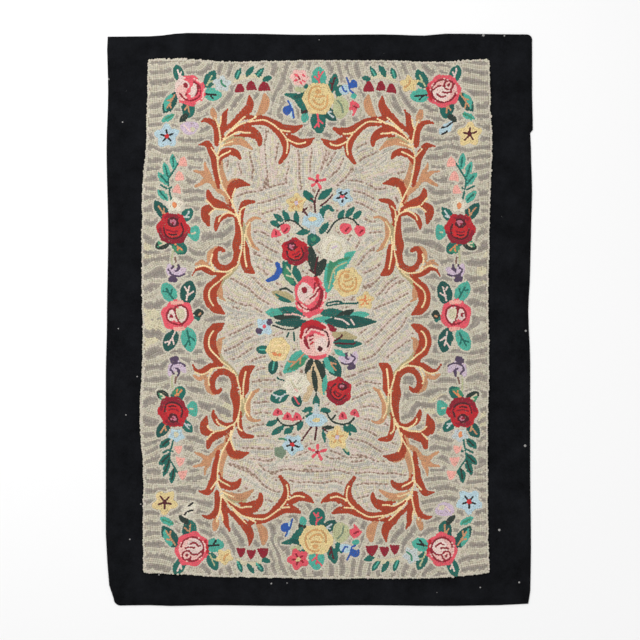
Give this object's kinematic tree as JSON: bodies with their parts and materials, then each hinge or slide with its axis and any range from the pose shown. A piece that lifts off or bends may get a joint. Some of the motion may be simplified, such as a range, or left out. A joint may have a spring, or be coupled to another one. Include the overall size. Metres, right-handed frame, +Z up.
{
  "type": "hooked rug",
  "caption": "Flat floral hooked rug: a panel of wool loops with roses and scrolls, sewn on a wider plain black cloth.",
  "frame": {"origin": "centre of the underside of the whole rug's box, on the floor it lies on", "axes": "+Z up out of the pile, +Y along the rug's length towards its head end, +X to the right when seen from above"},
  "size_m": [1.137, 1.526, 0.0085],
  "materials": {
    "black_wool": "matt felted wool cloth",
    "hooked_wool": "matt loops of dyed wool"
  },
  "bodies": {
    "root": {"black_cloth": "black_wool", "hooked_panel": "hooked_wool"}
  },
  "joints": []
}
